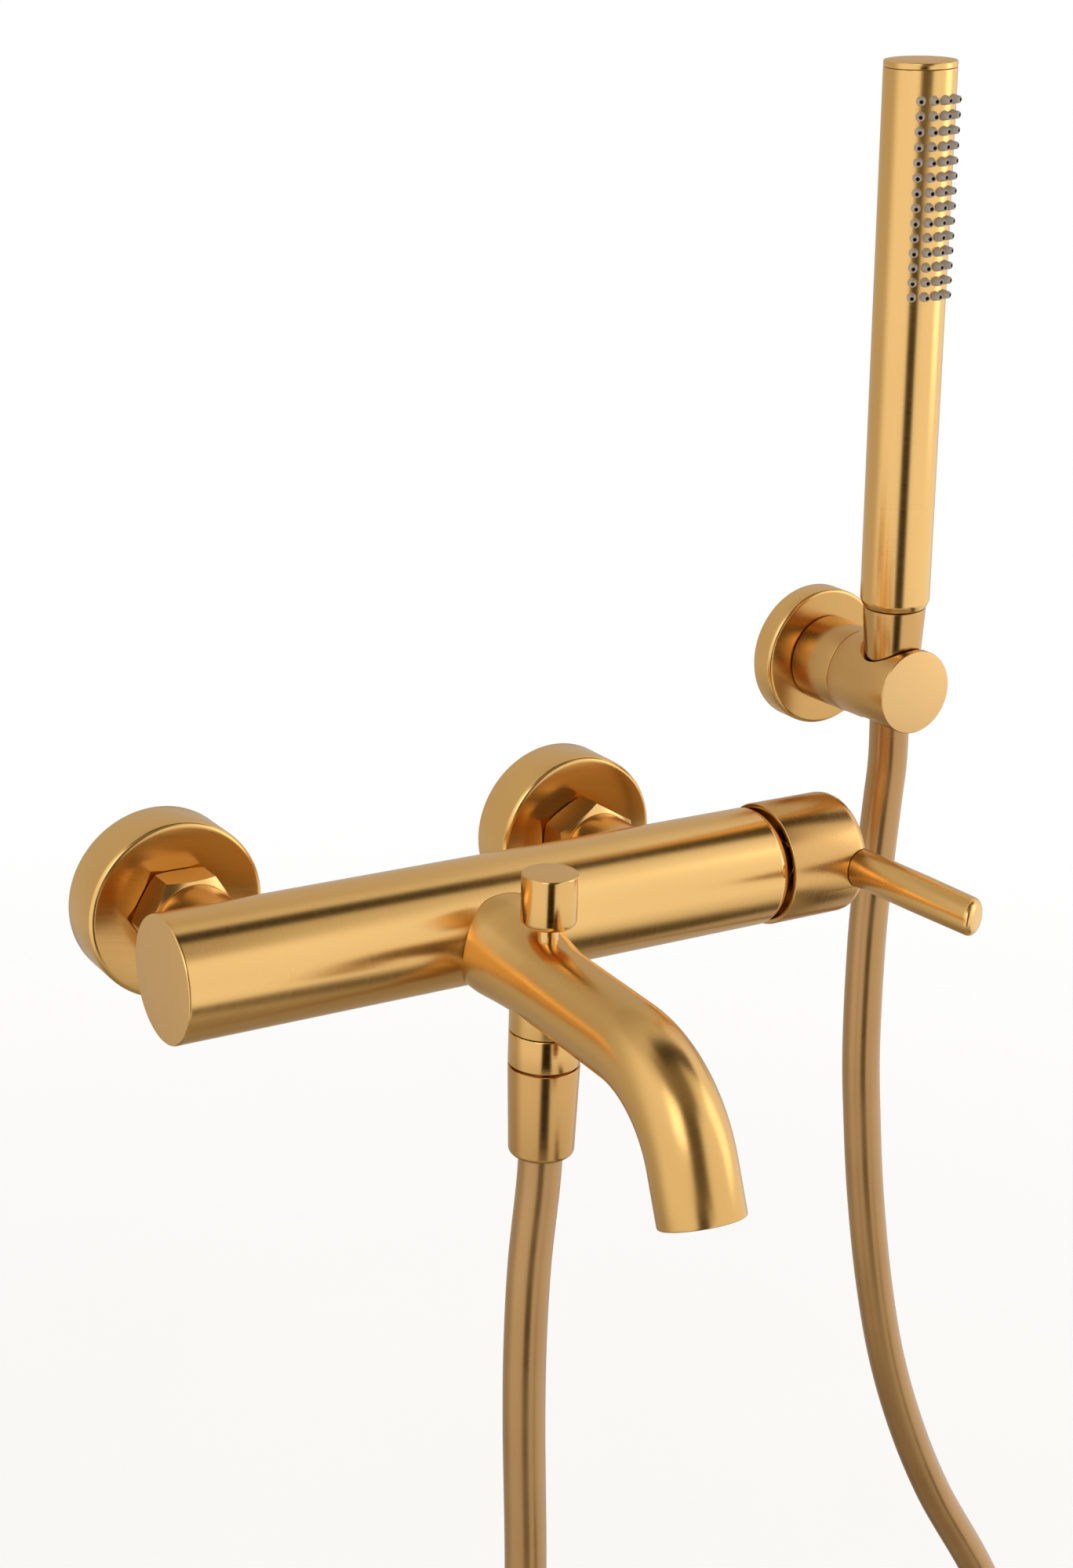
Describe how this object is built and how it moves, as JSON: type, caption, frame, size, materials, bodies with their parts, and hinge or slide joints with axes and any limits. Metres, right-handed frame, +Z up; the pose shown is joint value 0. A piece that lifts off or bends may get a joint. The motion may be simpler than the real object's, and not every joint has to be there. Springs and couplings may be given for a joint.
{
  "type": "wall mounted bath faucet",
  "caption": "Wall mounted bath mixer: level cylinder body with end lever, down-turned spout, pull-up diverter, hose and slim hand shower in a swivelling wall holder.",
  "frame": {"origin": "on the finished wall, midway between the two inlets", "axes": "+X along the wall towards the handle and the hand shower, +Y into the wall (the room is -Y), +Z up"},
  "size_m": [0.4135, 0.2288, 0.9449],
  "materials": {
    "brushed_gold": "brushed, satin",
    "plain_brass": "machined",
    "gold_hose": "metallic gold film under clear plastic, satin",
    "moulded_plastic": "moulded",
    "stainless_steel": "machined",
    "black_rubber": "matt",
    "nozzle_silicone": "translucent, soft",
    "white_ceramic": "lapped"
  },
  "bodies": {
    "faucet": {"mixer_body": "brushed_gold", "end_plug": "brushed_gold", "hot_channel": "moulded_plastic", "port_seal": "black_rubber", "cartridge_base": "moulded_plastic", "ceramic_disc_fixed": "white_ceramic", "cartridge_shell": "moulded_plastic", "cartridge_ring_nut": "plain_brass", "dome_cover": "brushed_gold", "spout": "brushed_gold", "spout_nipple": "plain_brass", "aerator_shell": "brushed_gold", "aerator_mesh": "moulded_plastic", "aerator_seal": "black_rubber", "diverter_bush": "plain_brass", "diverter_sleeve": "plain_brass", "outlet_nipple": "brushed_gold", "check_valve_cage": "moulded_plastic", "hose_nut_lower": "brushed_gold", "hose_washer_lower": "black_rubber", "hose_ferrule_lower": "plain_brass", "shower_hose": "gold_hose", "bracket_plate": "brushed_gold", "fixing_plate": "stainless_steel", "bracket_arm": "brushed_gold", "holder_bolt": "stainless_steel", "inlet_nipple_hot": "plain_brass", "union_nut_hot": "brushed_gold", "filter_washer_hot": "black_rubber", "wall_union_hot": "plain_brass", "escutcheon_hot": "brushed_gold", "inlet_nipple_cold": "plain_brass", "union_nut_cold": "brushed_gold", "filter_washer_cold": "black_rubber", "wall_union_cold": "plain_brass", "escutcheon_cold": "brushed_gold", "wall_screw_upper": "stainless_steel", "wall_plug_upper": "moulded_plastic", "wall_screw_lower": "stainless_steel", "wall_plug_lower": "moulded_plastic"},
    "cartridge_turret": {"cartridge_turret": "moulded_plastic", "pivot_pin": "stainless_steel"},
    "handle": {"handle_stem": "stainless_steel", "handle_cap": "brushed_gold", "handle_lever": "brushed_gold", "handle_screw": "stainless_steel"},
    "ceramic_disc": {"ceramic_disc_moving": "white_ceramic"},
    "diverter": {"diverter_knob": "brushed_gold", "diverter_stem": "plain_brass", "diverter_valve": "black_rubber"},
    "check_valve": {"check_valve_poppet": "moulded_plastic"},
    "holder_head": {"holder_head": "brushed_gold"},
    "hose_end": {"hose_ferrule_upper": "plain_brass"},
    "handset": {"hose_washer_upper": "black_rubber", "hose_nut_upper": "brushed_gold", "handset_connector": "plain_brass", "handset_duct": "moulded_plastic", "handset_tube": "brushed_gold", "handset_cap": "brushed_gold", "nozzle_strip": "nozzle_silicone"}
  },
  "joints": [
    {"name": "temperature", "type": "hinge", "parent": "faucet", "child": "cartridge_turret", "pos_m": [0.1045, -0.0665, -0.001], "axis": [1, 0, 0], "range_deg": [-45, 45]},
    {"name": "flow", "type": "hinge", "parent": "cartridge_turret", "child": "handle", "pos_m": [0.1045, -0.0665, -0.001], "axis": [0, 0, 1], "range_deg": [0, 20]},
    {"name": "disc_travel", "type": "slide", "parent": "cartridge_turret", "child": "ceramic_disc", "axis": [0, -1, 0], "range_m": [0, 0.003]},
    {"name": "diverter_pull", "type": "slide", "parent": "faucet", "child": "diverter", "axis": [0, 0, 1], "range_m": [0, 0.007]},
    {"name": "check_valve_lift", "type": "slide", "parent": "faucet", "child": "check_valve", "axis": [0, 0, -1], "range_m": [0, 0.0028], "stiffness_N_per_m": 20, "springref_m": -0.004},
    {"name": "holder_swivel", "type": "hinge", "parent": "faucet", "child": "holder_head", "pos_m": [0.185, -0.0455, 0.0492], "axis": [0, 1, 0], "range_deg": [-30, 30], "deforming": ["shower_hose"]},
    {"name": "handset_lift", "type": "slide", "parent": "holder_head", "child": "hose_end", "axis": [-0.0645, -0.0349, 0.9973], "range_m": [0, 0.06], "deforming": ["shower_hose"]},
    {"name": "handset_turn", "type": "hinge", "parent": "hose_end", "child": "handset", "pos_m": [0.18496, -0.04722, 0.0489], "axis": [-0.0645, -0.0349, 0.9973], "continuous": true}
  ],
  "couplings": [
    {"joint": "disc_travel", "follows": "flow", "m_per_rad": 0.007}
  ]
}
